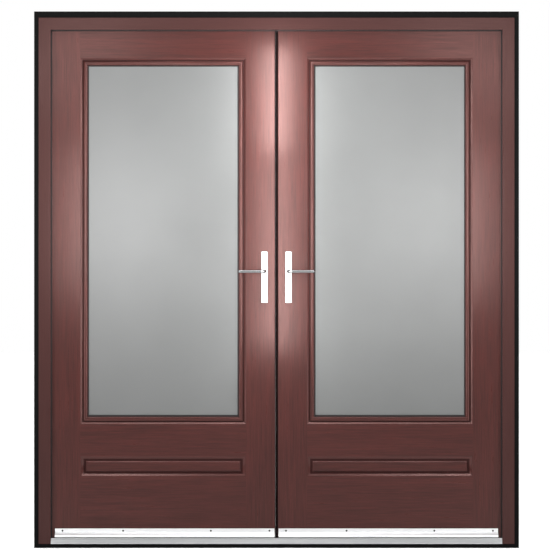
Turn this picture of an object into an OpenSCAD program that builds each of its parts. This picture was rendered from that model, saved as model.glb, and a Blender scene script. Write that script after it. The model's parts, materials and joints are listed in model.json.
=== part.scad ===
// French doors: a pair of inward-opening glazed leaves in their own frame.
// +X to the right seen from outside, -Y is the outside, +Z up. The origin is at the middle of the
// underside of the packing band. Leaf pieces are drawn on the right and mirrored for the left leaf.

/* [Frame] */
// Width of the outer frame, without the packing band
frame_w = 1890; // [1500:10:2200]
// Height of the outer frame, without the packing band
frame_h = 2090; // [1900:10:2510]
// Depth of the frame members
frame_d = 70; // [66:1:90]
// Width of a frame member where it shows outside
face_w = 48; // [44:1:70]
// Width of a frame member behind its rebate lip
body_w = 30; // [26:1:36]
// Depth of the rebate lip
lip_d = 18; // [14:1:22]
// Wall of the hollow frame profile
profile_wall = 3; // [2:0.5:4]
// Wall of the steel reinforcement
steel_wall = 2; // [1:0.5:2]
// Thickness of the packing band at the sides
band_side = 18; // [10:1:30]
// Thickness of the packing band over the head
band_top = 25; // [10:1:40]
// Thickness of the packing band under the threshold
band_base = 16; // [12:1:40]
// Set-back of the packing band from the frame's faces
band_inset = 2; // [0:1:6]

/* [Threshold] */
// Height of the threshold's upstand
upstand_h = 22; // [18:1:30]
// Height of the threshold's inner platform
platform_h = 8; // [6:1:10]
// Thickness of the threshold's metal
threshold_wall = 3; // [2:0.5:4]

/* [Leaves] */
// Thickness of a leaf
leaf_t = 44; // [44:1:54]
// Gap between a leaf and the frame body, at the edge and at the top
edge_gap = 4; // [3:0.5:6]
// Height of a leaf's lower edge over the threshold's underside
leaf_lift = 12; // [11:0.5:16]
// Gap between the two leaf edges
meet_gap = 12; // [11:0.5:14]
// Thickness of the leaf's moulded skins
skin_t = 3; // [2:0.5:4]
// Thickness of the seal between frame and leaf
seal_t = 4; // [3:0.5:6]
// Width of the seal that shows beyond the frame's lip
seal_show = 4.5; // [2:0.5:7]
// Width of the timber stiles and the top rail
stile_w = 90; // [86:1:100]
// Height of the timber bottom rail
bottom_rail = 120; // [90:5:200]

/* [Glazing] */
// Leaf edge to the glazing surround, at the meeting side
glaze_meet = 115; // [108:1:180]
// Leaf edge to the glazing surround, at the hinge side
glaze_hinge = 130; // [108:1:180]
// Leaf top to the glazing surround
glaze_top = 124; // [108:1:200]
// Leaf bottom to the glazing surround
glaze_sill = 465; // [400:5:900]
// Width of the moulded surround
surround_w = 37; // [34:1:44]
// Depth of the surround's groove below the leaf's face
surround_d = 7; // [5:0.5:8]
// Overlap of the surround on the glass
glass_hold = 14; // [10:1:16]
// Thickness of one pane
pane_t = 4; // [4:1:6]
// Space between the panes
cavity_t = 16; // [12:1:18]
// Thickness of the glazing seals
gasket_t = 2; // [1.5:0.5:3]

/* [Low panel] */
// Leaf bottom to the low panel
panel_sill = 255; // [160:5:300]
// Height of the low panel
panel_h = 80; // [60:5:120]
// Width of the groove round the low panel
panel_groove = 24; // [16:1:28]
// Depth of the groove round the low panel
panel_d = 5; // [3:0.5:6]

/* [Weather bar] */
// Height of the weather bar
bar_h = 34; // [30:1:45]
// Height of the bar's lower edge over the threshold's upstand
bar_lift = 3.7; // [3:0.1:8]
// How far the bar stands out of the leaf
bar_out = 24; // [18:1:32]
// Distance of the bar's outer end from the frame's lip
bar_end = 16; // [10:1:40]
// Radius of the bar's screws
screw_r = 1.8; // [1.5:0.1:2.2]

/* [Handles] */
// Height of the handle's spindle over the threshold's underside
spindle_h = 1082; // [950:1:1150]
// Distance of the spindle from the leaf's meeting edge
backset = 42; // [40:1:46]
// Distance between the spindle and the cylinder
centres = 72; // [68:1:92]
// Width of the handle plates
plate_w = 26; // [26:1:32]
// Height of the handle plate over the spindle
plate_up = 78; // [40:1:100]
// Height of the handle plate under the spindle
plate_down = 124; // [112:1:150]
// Thickness of the handle plates
plate_t = 8; // [6:0.5:10]
// Length of the lever from its spindle
lever_l = 103; // [80:1:130]
// Radius of the lever's grip
lever_r = 6.8; // [6:0.1:8.5]
// Radius of the lever's neck
neck_r = 9; // [8.5:0.1:10]
// Distance from the leaf's face to the middle of the grip
lever_out = 44; // [38:1:60]
// Width of the square spindle
spindle_w = 8; // [7:1:8]

/* [Lock] */
// Width of the lock strip
strip_w = 20; // [20:1:24]
// Distance from the leaf's ends to the ends of the lock strip
strip_inset = 138; // [60:1:200]
// Height of the upper hook over the spindle
hook_up = 460; // [300:5:600]
// Depth of the lower hook under the spindle
hook_down = 540; // [300:5:700]
// Throw of the deadbolt
dead_throw = 20; // [14:1:20]
// Throw of the latch
latch_throw = 11; // [8:0.5:11]
// Travel of the drive bar
drive_travel = 18; // [12:1:20]
// Radius of the shootbolts
shoot_r = 4; // [3:0.5:4.5]
// Throw of the shootbolts
shoot_throw = 20; // [15:1:22]

/* [Hinges] */
// Height of one hinge
hinge_h = 100; // [80:2:120]
// Distance from the leaf's ends to the outer hinges
hinge_end = 170; // [120:5:260]
// Radius of the hinge knuckle
knuckle_r = 8; // [7.5:0.5:9]
// Radius of the hinge pin
pin_r = 4; // [3:0.5:4.5]
// Distance of the hinge axis from the leaf's inner face
hinge_out = 13.5; // [13:0.5:16]

/* [Fixings] */
// Radius of the fixing holes
fix_r = 4; // [3:0.5:5]
// Distance of the first fixing hole from the frame's corner
fix_end = 150; // [120:5:250]
// Number of fixing holes in a frame member
fix_n = 4; // [3:1:6]

/* [Clearances] */
// Radial running clearance of pins and journals
run_gap = 0.05; // [0.02:0.01:0.1]
// Clearance round a piece in its pocket
seat_gap = 0.3; // [0.2:0.05:0.5]

/* [Hidden] */
$fn = 48;

// Colours
rosewood = "#6a4644";
grain = "#8d5f5b";
black = "#161312";
metal = "#c9cbcc";
chrome = "#dadcde";
steel = "#8e9194";
glass = "#a9a9a9";
timber = "#c9a878";
foam = "#e8dcb8";

// Frame
sill_z = band_base;
head_z = sill_z + frame_h;
half_w = frame_w / 2;
front_y = -frame_d / 2;
back_y = frame_d / 2;
lip_y = front_y + lip_d;
fix_y = (lip_y + back_y) / 2;
fix_zs = [for (i = [0:fix_n - 1]) sill_z + fix_end + i * (frame_h - 2 * fix_end) / (fix_n - 1)];
fix_xs = [for (i = [0:fix_n - 1]) -half_w + fix_end + i * (frame_w - 2 * fix_end) / (fix_n - 1)];

// Leaf box on the right: meeting edge x0, hinge edge x1
leaf_y = lip_y + seal_t;
leaf_back = leaf_y + leaf_t;
core_y = leaf_y + skin_t;
core_back = leaf_back - skin_t;
x0 = meet_gap / 2;
x1 = half_w - body_w - edge_gap;
z0 = sill_z + leaf_lift;
z1 = head_z - body_w - edge_gap;
mid_y = (leaf_y + leaf_back) / 2;
leaf_rect = [x0, z0, x1, z1];
inner_rect = [x0 + stile_w, z0 + bottom_rail, x1 - stile_w, z1 - stile_w];

// Glazing, as [low x, low z, high x, high z]
function grown(r, d) = [r[0] - d, r[1] - d, r[2] + d, r[3] + d];
surround = [x0 + glaze_meet, z0 + glaze_sill, x1 - glaze_hinge, z1 - glaze_top];
sight = grown(surround, -surround_w);
glass_edge = grown(sight, glass_hold);
packer_gap = 4;
rebate = grown(glass_edge, packer_gap);
pane_y = leaf_y + 12;
unit_back = pane_y + 2 * pane_t + cavity_t;
bead_lap = 8;
bead_proud = 4;

// Low panel
panel = [surround[0] + 3, z0 + panel_sill, surround[2] - 3, z0 + panel_sill + panel_h];
panel_field = grown(panel, -panel_groove);

// Weather bar
bar_z = sill_z + upstand_h + bar_lift;
bar_x0 = x0 + 2;
bar_x1 = half_w - face_w - bar_end;
bar_wall = 2;
screw_z = bar_z + 25;
screw_deep = 16;
screw_head_r = 3.6;
bar_len = bar_x1 - bar_x0;
screw_share = [0.034, 0.31, 0.71, 0.977];

// Handles and lock, x measured into the leaf from its meeting edge
spin_x = x0 + backset;
spin_z = sill_z + spindle_h;
key_z = spin_z - centres;
grip_y = leaf_y - lever_out;
grip_back = leaf_back + lever_out;
strip_t = 3;
rail_x = x0 + strip_t + seat_gap;
rail_t = 2.5;
rail_w = strip_w - 2;
case_x = rail_x + rail_t + seat_gap;
case_front = rail_x + rail_t - x0;
case_d = 68;
case_t = 16;
case_wall = 1.5;
case_up = 63;
case_down = 122;
hub_r = 12;
journal_r = 8;
latch_z = spin_z + 36;
latch_h = 20;
latch_t = 11;
latch_l = 46;
dead_h = 22;
dead_t = 10;
dead_l = 28;
cyl_r = 8.5;
cyl_lobe = 10;
cyl_low = 24.5;
turn_r = 4;
turn_w = 26;
turn_out = 22;
hook_zs = [spin_z - hook_down, spin_z + hook_up];
hook_x = x0 + 24;
hook_t = 4;
hook_arm = 38;
hook_half = 6;
hook_nose = 13;
hook_lip = 9;
hook_pin_r = 3;
hook_sweep = hook_arm - 2;
hook_reach = norm([hook_arm, hook_nose]);
hook_low = hook_arm + 6;
hook_box = [34, 12, hook_low + 14];
rail_low = hook_zs[0] - hook_low - 16;
rail_high = hook_zs[1] + 40;
keep_t = 2;
keep_end = 26;
keep_spans = [[hook_zs[0] - hook_low - 4, hook_zs[0] + keep_end], [key_z - keep_end, latch_z + keep_end],
    [hook_zs[1] - hook_low - 4, hook_zs[1] + keep_end]];
meet_in = 2.5;
profile_x = -x0 + meet_in;
shoot_x = x0 + 18;
tip_gap = 1;

// Hinges
axis_x = x1 + edge_gap / 2;
axis_y = leaf_back + hinge_out;
knuckle_h = hinge_h / 2 - seat_gap / 2;
flag_t = 4;
flag_w = 26;
cap_h = 3;
hinge_zs = [z0 + hinge_end, (z0 + z1 - hinge_h) / 2, z1 - hinge_end - hinge_h];

// ---- helpers ----

module left() {
    mirror([1, 0, 0]) children();
}

// A box between two y planes over an [x, z, x, z] rectangle
module slab(r, ya, yb) {
    translate([r[0], ya, r[1]]) cube([r[2] - r[0], yb - ya, r[3] - r[1]]);
}

module ring(outer, inner, ya, yb) {
    difference() {
        slab(outer, ya, yb);
        slab(inner, ya - 1, yb + 1);
    }
}

// A cylinder along y
module rod_y(x, z, ya, yb, r) {
    translate([x, ya, z]) rotate([-90, 0, 0]) cylinder(r = r, h = yb - ya);
}

// An xz outline given as [x, z] points, thick from ya to yb
module plate_xz(ya, yb) {
    translate([0, yb, 0]) rotate([90, 0, 0]) linear_extrude(yb - ya) children();
}

// A moulding mitred round a rectangle. The section is [u, y] points, u measured inwards.
module moulding(r, section) {
    w = r[2] - r[0];
    h = r[3] - r[1];
    low = min([for (p = section) p[0]]);
    high = max([for (p = section) p[0]]) + 1;
    for (side = [0:3]) {
        long = side % 2 == 0 ? w : h;
        at = [[r[0], r[1]], [r[2], r[1]], [r[2], r[3]], [r[0], r[3]]][side];
        translate([at[0], 0, at[1]]) rotate([0, -90 * side, 0]) intersection() {
            translate([low - 1, 0, 0]) rotate([90, 0, 90]) linear_extrude(long - 2 * low + 2)
                polygon([for (p = section) [p[1], p[0]]]);
            plate_xz(front_y - 100, back_y + 100)
                polygon([[low, low], [long - low, low], [long - high, high], [high, high]]);
        }
    }
}

// ---- frame ----

// Section of a frame member: x is measured from its outer edge inwards
module frame_section() {
    difference() {
        union() {
            translate([0, front_y]) square([face_w, lip_d]);
            translate([0, front_y]) square([body_w, frame_d]);
        }
        translate([profile_wall, front_y + profile_wall])
            square([face_w - 2 * profile_wall, lip_d - 2 * profile_wall]);
        translate([profile_wall, lip_y + profile_wall])
            square([body_w - 2 * profile_wall, frame_d - lip_d - 2 * profile_wall]);
    }
}

module steel_section() {
    inset = profile_wall + seat_gap;
    size = [body_w - 2 * inset, frame_d - lip_d - 2 * inset];
    translate([inset, lip_y + inset]) difference() {
        square(size);
        translate([steel_wall, steel_wall]) square(size - 2 * [steel_wall, steel_wall]);
    }
}

module along_head(length) {
    translate([-length / 2, 0, head_z]) rotate([0, 90, 0]) linear_extrude(length) children();
}

module along_jamb(low, high) {
    translate([half_w, 0, low]) mirror([1, 0, 0]) linear_extrude(high - low) children();
}

module jamb_holes(r) {
    for (z = fix_zs)
        translate([half_w - face_w, fix_y, z]) rotate([0, 90, 0]) cylinder(r = r, h = face_w + band_side + 1);
}

module head_holes(r) {
    for (x = fix_xs)
        translate([x, fix_y, head_z - face_w]) cylinder(r = r, h = face_w + band_top + 1);
}

module shoot_hole(r, low, high) {
    translate([shoot_x, mid_y, low]) cylinder(r = r, h = high - low);
}

module frame_head() {
    color(rosewood) difference() {
        along_head(frame_w) frame_section();
        for (s = [0, 1])
            mirror([s, 0, 0]) plate_xz(front_y - 1, back_y + 1)
                polygon([[half_w + 1, head_z + 1], [half_w + 1, head_z - 80], [half_w - 80, head_z - 80]]);
        head_holes(fix_r);
        shoot_hole(shoot_r + 1, head_z - body_w - 1, head_z - body_w + profile_wall + 1);
    }
}

module jamb() {
    color(rosewood) difference() {
        along_jamb(sill_z, head_z) frame_section();
        plate_xz(front_y - 1, back_y + 1)
            polygon([[half_w + 1, head_z + 1], [half_w - 80, head_z - 80], [half_w - 80, head_z + 1]]);
        jamb_holes(fix_r);
    }
}

module frame_jamb_left() {
    left() jamb();
}

module frame_jamb_right() {
    jamb();
}

module frame_steels() {
    short = face_w + 6;
    color(steel) {
        for (s = [0, 1])
            mirror([s, 0, 0]) difference() {
                along_jamb(sill_z, head_z - short) steel_section();
                jamb_holes(fix_r);
            }
        difference() {
            along_head(frame_w - 2 * short) steel_section();
            head_holes(fix_r);
            shoot_hole(shoot_r + 1, head_z - body_w, head_z - body_w + profile_wall + steel_wall + 1);
        }
    }
}

module frame_seal() {
    inner = half_w - face_w - seal_show;
    outer = half_w - body_w - 8;
    low = sill_z + platform_h + seat_gap;
    seal_y = leaf_y - seat_gap;
    color(black) {
        difference() {
            slab([-outer, low, outer, head_z - body_w - 8], lip_y, seal_y);
            slab([-inner, low - 1, inner, head_z - face_w - seal_show], lip_y - 1, seal_y + 1);
        }
        slab([-inner, sill_z + upstand_h - 8, inner, sill_z + upstand_h], lip_y - 2, seal_y);
    }
}

module packing_band() {
    color(black) difference() {
        ring([-half_w - band_side, 0, half_w + band_side, head_z + band_top],
            [-half_w, sill_z, half_w, head_z], front_y + band_inset, back_y - band_inset);
        for (s = [0, 1])
            mirror([s, 0, 0]) jamb_holes(fix_r + 1);
        head_holes(fix_r + 1);
        shoot_hole(shoot_r + 2, sill_z - shoot_throw + leaf_lift - tip_gap, sill_z + 1);
    }
}

module threshold() {
    top = upstand_h;
    rise_y = lip_y - 2;
    color(metal) difference() {
        translate([-half_w + body_w + seat_gap, 0, sill_z]) rotate([90, 0, 90])
            linear_extrude(frame_w - 2 * body_w - 2 * seat_gap) difference() {
                polygon([[front_y, 0], [front_y, 8], [front_y + 4, 15], [front_y + 4, top],
                    [rise_y, top], [rise_y, platform_h], [back_y, platform_h], [back_y, 0]]);
                translate([front_y + 7, threshold_wall])
                    square([rise_y - front_y - 10, top - 2 * threshold_wall]);
                translate([lip_y, -1]) square([22, platform_h - threshold_wall + 1]);
                translate([lip_y + 25, -1]) square([back_y - lip_y - 28, platform_h - threshold_wall + 1]);
            }
        for (s = [0, 1])
            mirror([s, 0, 0]) translate([half_w - face_w - seat_gap, front_y - 1, sill_z - 1])
                cube([face_w, lip_d + 1 + seat_gap, top + 2]);
        shoot_hole(shoot_r + 1, sill_z - 1, sill_z + platform_h + 1);
    }
}

module shootbolt_keeps() {
    half = [18, 9];
    color(metal) for (z = [sill_z + platform_h, head_z - body_w - keep_t])
        difference() {
            translate([shoot_x - half[0] / 2, mid_y - half[1], z]) cube([2 * half[0], 2 * half[1], keep_t]);
            shoot_hole(shoot_r + 0.6, z - 1, z + keep_t + 1);
        }
}

module hinge_frame_flags() {
    color(rosewood) for (s = [0, 1], z = hinge_zs)
        mirror([s, 0, 0]) difference() {
            union() {
                translate([axis_x, back_y, z]) cube([flag_w, flag_t, knuckle_h]);
                translate([axis_x, axis_y, z]) cylinder(r = knuckle_r, h = knuckle_h);
            }
            translate([axis_x, axis_y, z - 1]) cylinder(r = pin_r + run_gap, h = knuckle_h + 2);
        }
}

module hinge_pins() {
    color(steel) for (s = [0, 1], z = hinge_zs)
        mirror([s, 0, 0]) translate([axis_x, axis_y, z - cap_h]) {
            cylinder(r = knuckle_r, h = cap_h);
            cylinder(r = pin_r, h = cap_h + hinge_h + seat_gap + 1);
            translate([0, 0, cap_h + hinge_h + seat_gap]) cylinder(r = knuckle_r, h = cap_h);
        }
}

module leaf_flags() {
    color(rosewood) for (z = hinge_zs)
        translate([0, 0, z + hinge_h / 2 + seat_gap / 2]) difference() {
            union() {
                translate([axis_x, axis_y, 0]) cylinder(r = knuckle_r, h = knuckle_h);
                translate([x1 - flag_w, leaf_back, 0]) cube([flag_w, flag_t, knuckle_h]);
                translate([x1 - 8, leaf_back, 0]) cube([8, hinge_out, knuckle_h]);
            }
            translate([axis_x, axis_y, -1]) cylinder(r = pin_r + run_gap, h = knuckle_h + 2);
        }
}

// ---- leaf ----

// Holes for the handle's spindle and the cylinder, through the core or the skins
module lock_holes(ya, yb) {
    rod_y(spin_x, spin_z, ya, yb, neck_r + 2);
    cylinder_form(ya, yb, seat_gap);
}

module cylinder_form(ya, yb, grow) {
    rod_y(spin_x, key_z, ya, yb, cyl_r + grow);
    translate([spin_x - cyl_lobe / 2 - grow, ya, key_z - cyl_low - grow])
        cube([cyl_lobe + 2 * grow, yb - ya, cyl_low + grow]);
}

function screw_xs(s) = [for (k = screw_share) bar_x0 + bar_len * (s > 0 ? k : 1 - k)];

module screw_holes(s, ya, yb) {
    for (x = screw_xs(s))
        rod_y(x, screw_z, ya, yb, screw_r + run_gap);
}

module outer_skin(s) {
    deep = leaf_y + surround_d;
    bead_x = surround_w * 0.48;
    seat = pane_y - gasket_t;
    color(grain) difference() {
        union() {
            difference() {
                slab(leaf_rect, leaf_y, core_y);
                slab(surround, leaf_y - 1, core_y + 1);
                slab(panel, leaf_y - 1, core_y + 1);
            }
            moulding(surround, [[0, leaf_y], [bead_x * 0.35, leaf_y + 1.5], [bead_x * 0.75, leaf_y + 5],
                [bead_x, deep], [bead_x + 3, leaf_y + 2], [bead_x + 8, leaf_y], [bead_x + 13, leaf_y + 1.5],
                [surround_w - 2, leaf_y + 5], [surround_w, seat - 1], [surround_w, seat],
                [bead_x - 2, seat], [0, core_y]]);
            moulding(panel, [[0, leaf_y], [panel_groove * 0.55, leaf_y + panel_d], [panel_groove, leaf_y + 1],
                [panel_groove, leaf_y + 1 + skin_t], [panel_groove * 0.55, leaf_y + panel_d + skin_t],
                [0, core_y]]);
            slab(panel_field, leaf_y + 1, leaf_y + 1 + skin_t);
        }
        lock_holes(leaf_y - 1, core_y + 1);
        screw_holes(s, leaf_y - 1, core_y + 1);
    }
}

module inner_skin() {
    color(grain) difference() {
        slab(leaf_rect, core_back, leaf_back);
        slab(rebate, core_back - 1, leaf_back + 1);
        lock_holes(core_back - 1, leaf_back + 1);
    }
}

// Room in the core for the moulded surround, the low panel and the lock case
module core_pockets() {
    slab(surround, core_y - 1, pane_y - gasket_t + seat_gap);
    slab(panel, core_y - 1, leaf_y + panel_d + skin_t + seat_gap);
    slab(rebate, core_y - 1, core_back + 1);
    lock_holes(core_y - 1, core_back + 1);
    slab([x0 + case_front, spin_z - case_down - seat_gap,
        case_x + case_d + seat_gap, spin_z + case_up + seat_gap],
        mid_y - case_t / 2 - seat_gap, mid_y + case_t / 2 + seat_gap);
}

module strip_groove() {
    slab([x0 - 1, z0 + strip_inset, x0 + strip_t, z1 - strip_inset],
        mid_y - strip_w / 2, mid_y + strip_w / 2);
    slab([x0, rail_low - drive_travel, case_x, rail_high + drive_travel + 2],
        mid_y - rail_w / 2 - seat_gap, mid_y + rail_w / 2 + seat_gap);
}

module hook_rooms() {
    for (z = hook_zs)
        slab([x0, z - hook_low - seat_gap,
            case_x + hook_box[0] + seat_gap, z - hook_low + hook_box[2] + seat_gap],
            mid_y - hook_box[1] / 2 - seat_gap, mid_y + hook_box[1] / 2 + seat_gap);
}

module timber_frame(s) {
    color(timber) difference() {
        ring(leaf_rect, inner_rect, core_y, core_back);
        core_pockets();
        screw_holes(s, core_y - 1, core_y + screw_deep);
        if (s < 0) {
            strip_groove();
            hook_rooms();
        } else {
            keep_rooms(x0 - 1);
            shoot_hole(shoot_r + seat_gap, z0 - 1, z1 + 1);
        }
    }
}

module foam_core() {
    color(foam) difference() {
        slab(inner_rect, core_y, core_back);
        core_pockets();
    }
}

module glass_panes() {
    color(glass) for (y = [pane_y, unit_back - pane_t])
        slab(glass_edge, y, y + pane_t);
}

module glass_spacer() {
    color(metal) ring(grown(glass_edge, -3), grown(glass_edge, -11), pane_y + pane_t, unit_back - pane_t);
}

// A gasket on each side of the glass and two packers that carry its lower edge
module glazing_seal() {
    color(black) {
        for (y = [pane_y - gasket_t, unit_back])
            ring(grown(sight, glass_hold - 2), grown(sight, 3), y, y + gasket_t);
        for (x = [glass_edge[0] + 80, glass_edge[2] - 180])
            slab([x, glass_edge[1] - packer_gap, x + 100, glass_edge[1]], pane_y, unit_back);
    }
}

module glazing_bead() {
    back = unit_back + gasket_t;
    reach = glass_hold + packer_gap;
    face = leaf_back + bead_proud;
    color(grain) moulding(rebate, [[-bead_lap, leaf_back], [-bead_lap, leaf_back + 2], [0, face],
        [8, face], [reach, face - 5], [reach, back], [seat_gap, back], [seat_gap, leaf_back]]);
}

module weather_bar(s) {
    out = leaf_y - bar_out;
    plate = leaf_y - bar_wall;
    color(metal) difference() {
        translate([bar_x0, 0, bar_z]) rotate([90, 0, 90]) linear_extrude(bar_len)
            polygon([[leaf_y, 0.5], [leaf_y, bar_h], [leaf_y - 5, bar_h], [leaf_y - 5, bar_h - 3],
                [plate, bar_h - 4], [plate, bar_h - 14], [leaf_y - 7, bar_h - 15],
                [out + 3, 8], [out, 5], [out, 0], [out + bar_wall, 0], [out + bar_wall, 4],
                [leaf_y - 7, bar_h - 17.5], [plate, bar_h - 18], [plate, 0.5]]);
        screw_holes(s, plate - 1, leaf_y + 1);
    }
}

module bar_screws(s) {
    plate = leaf_y - bar_wall;
    color(black) for (x = screw_xs(s)) {
        rod_y(x, screw_z, plate - 1.6, plate, screw_head_r);
        rod_y(x, screw_z, plate - 1, core_y + screw_deep - 1, screw_r);
    }
}

// ---- handles and lock ----

module handle_plate(ya, yb, face) {
    w = plate_w / 2;
    r = 3;
    slope = (face - (ya + yb) / 2) > 0 ? 1 : -1;
    low = spin_z - plate_down;
    high = spin_z + plate_up;
    color(chrome) difference() {
        intersection() {
            slab([spin_x - w, low, spin_x + w, high], ya, yb);
            translate([spin_x, face, 0]) linear_extrude(high + 1)
                polygon([[-w, -slope * plate_t], [-w, -slope * r], [-w + r, 0], [w - r, 0],
                    [w, -slope * r], [w, -slope * plate_t]]);
        }
        rod_y(spin_x, spin_z, ya - 1, yb + 1, neck_r + run_gap);
        cylinder_form(ya - 1, yb + 1, seat_gap);
    }
}

module outer_plate() {
    handle_plate(leaf_y - plate_t, leaf_y, leaf_y - plate_t);
}

module inner_plate() {
    handle_plate(leaf_back, leaf_back + plate_t, leaf_back + plate_t);
}

// A lever with its grip's middle at y = grip and the end of its neck at y = end, end > grip
module lever(grip, end) {
    low = grip - lever_r - 1;
    stop = grip + lever_r * 0.4;
    chamfer = 2;
    color(chrome) difference() {
        union() {
            rod_y(spin_x, spin_z, low, end, neck_r);
            translate([spin_x, grip, spin_z]) rotate([0, 90, 0]) {
                cylinder(r = lever_r, h = lever_l - chamfer);
                translate([0, 0, lever_l - chamfer])
                    cylinder(r1 = lever_r, r2 = lever_r - chamfer, h = chamfer);
            }
        }
        translate([spin_x - spindle_w / 2 - run_gap, stop, spin_z - spindle_w / 2 - run_gap])
            cube([spindle_w + 2 * run_gap, end - stop + 1, spindle_w + 2 * run_gap]);
    }
}

module outer_lever() {
    lever(grip_y, leaf_y - 1);
}

module inner_lever() {
    mirror([0, 1, 0]) lever(-grip_back, -leaf_back - 1);
}

module spindle() {
    low = grip_y + lever_r * 0.4 + 0.5;
    high = grip_back - lever_r * 0.4 - 0.5;
    color(steel) translate([spin_x - spindle_w / 2, low, spin_z - spindle_w / 2])
        cube([spindle_w, high - low, spindle_w]);
}

module case_box() {
    color(steel) difference() {
        slab([case_x, spin_z - case_down, case_x + case_d, spin_z + case_up],
            mid_y - case_t / 2, mid_y + case_t / 2);
        slab([case_x - 1, spin_z - case_down + case_wall, case_x + case_d - case_wall,
            spin_z + case_up - case_wall], mid_y - case_t / 2 + case_wall, mid_y + case_t / 2 - case_wall);
        rod_y(spin_x, spin_z, mid_y - case_t, mid_y + case_t, journal_r + run_gap);
        cylinder_form(mid_y - case_t, mid_y + case_t, seat_gap);
        shoot_hole(shoot_r + seat_gap, spin_z - case_down - 1, spin_z + case_up + 1);
    }
}

// The boxes that carry the two hooks, each with its pivot pin
module hook_boxes() {
    half = hook_box[1] / 2;
    color(steel) for (z = hook_zs) {
        difference() {
            slab([case_x, z - hook_low, case_x + hook_box[0], z - hook_low + hook_box[2]],
                mid_y - half, mid_y + half);
            slab([case_x - 1, z - hook_low + case_wall, case_x + hook_box[0] - case_wall,
                z - hook_low + hook_box[2] - case_wall],
                mid_y - half + case_wall, mid_y + half - case_wall);
        }
        rod_y(hook_x, z, mid_y - half, mid_y + half, hook_pin_r);
    }
}

// Half of the split follower, from y = ya to y = yb, with its journal at the outer side
module follower_half(ya, yb, wall) {
    rod_y(spin_x, spin_z, ya, yb, hub_r);
    rod_y(spin_x, spin_z, min(wall, ya), max(wall, yb), journal_r);
}

// The part of the master leaf's split follower that the spindle turns, to draw the latch
module master_latch_cam() {
    inner = mid_y - case_t / 2 + case_wall + seat_gap;
    left() color(metal) difference() {
        follower_half(inner, mid_y - seat_gap, mid_y - case_t / 2);
        square_bore(mid_y - case_t, mid_y + 1);
    }
}

// The part that drives the bar, held on the spindle on the slave leaf and loose on it on the master leaf
module follower(s) {
    inner = mid_y + case_t / 2 - case_wall - seat_gap;
    color(metal) difference() {
        follower_half(mid_y + seat_gap, inner, mid_y + case_t / 2);
        if (s < 0)
            rod_y(spin_x, spin_z, mid_y - 1, mid_y + case_t, spindle_w * sqrt(2) / 2 + 0.15);
        else
            square_bore(mid_y - 1, mid_y + case_t);
    }
}

module square_bore(ya, yb) {
    hole = spindle_w + 2 * run_gap;
    translate([spin_x - hole / 2, ya, spin_z - hole / 2]) cube([hole, yb - ya, hole]);
}

module master_lock_strip() {
    left() color(metal) difference() {
        slab([x0, z0 + strip_inset, x0 + strip_t, z1 - strip_inset],
            mid_y - strip_w / 2, mid_y + strip_w / 2);
        bolt_windows(x0 - 1, x0 + strip_t + 1, 0);
    }
}

module bolt_windows(xa, xb, travel) {
    gap = seat_gap;
    slab([xa, latch_z - latch_h / 2 - gap - travel, xb, latch_z + latch_h / 2 + gap],
        mid_y - latch_t / 2 - gap, mid_y + latch_t / 2 + gap);
    slab([xa, key_z - dead_h / 2 - gap - travel, xb, key_z + dead_h / 2 + gap],
        mid_y - dead_t / 2 - gap, mid_y + dead_t / 2 + gap);
    for (z = hook_zs)
        slab([xa, z - hook_sweep - travel, xb, z + hook_half + 1],
            mid_y - hook_t / 2 - gap, mid_y + hook_t / 2 + gap);
}

module master_drive_bar() {
    left() color(steel) difference() {
        slab([rail_x, rail_low, rail_x + rail_t, rail_high], mid_y - rail_w / 2, mid_y + rail_w / 2);
        bolt_windows(rail_x - 1, rail_x + rail_t + 1, drive_travel + 1);
    }
}

module bolt(z, h, t, l) {
    left() color(metal) slab([x0 + seat_gap, z - h / 2, x0 + l, z + h / 2], mid_y - t / 2, mid_y + t / 2);
}

module master_latch_bolt() {
    bolt(latch_z, latch_h, latch_t, latch_l);
}

module master_deadbolt() {
    bolt(key_z, dead_h, dead_t, dead_l);
}

// A hook hanging down from its pivot; it swings up through the keep of the other leaf
module hook(z) {
    h = hook_half;
    left() color(steel) difference() {
        union() {
            rod_y(hook_x, z, mid_y - hook_t / 2, mid_y + hook_t / 2, h + 1.5);
            plate_xz(mid_y - hook_t / 2, mid_y + hook_t / 2) translate([hook_x, z])
                polygon([[-h, 0], [h, 0], [h, -hook_arm], [-hook_nose, -hook_arm],
                    [-hook_nose, -hook_arm + hook_lip], [-h, -hook_arm + hook_lip]]);
        }
        rod_y(hook_x, z, mid_y - hook_t, mid_y + hook_t, hook_pin_r + run_gap);
    }
}

module master_upper_hook() {
    hook(hook_zs[1]);
}

module master_lower_hook() {
    hook(hook_zs[0]);
}

module lock_cylinder() {
    low = leaf_y - plate_t - 3;
    high = leaf_back + plate_t + 3;
    color(metal) difference() {
        cylinder_form(low, high, 0);
        rod_y(spin_x, key_z, high - 16, high + 1, turn_r + run_gap);
        translate([spin_x - 1, low - 1, key_z - 4.5]) cube([2, 9, 9]);
    }
}

module thumbturn() {
    high = leaf_back + plate_t + 3;
    color(chrome) {
        rod_y(spin_x, key_z, high - 15, high + 2, turn_r);
        rod_y(spin_x, key_z, high + seat_gap, high + 4, turn_w / 2 - 3);
        translate([spin_x - 4, high + 2, key_z - turn_w / 2]) cube([8, turn_out - 2, turn_w]);
    }
}

// ---- slave leaf's own pieces ----

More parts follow.
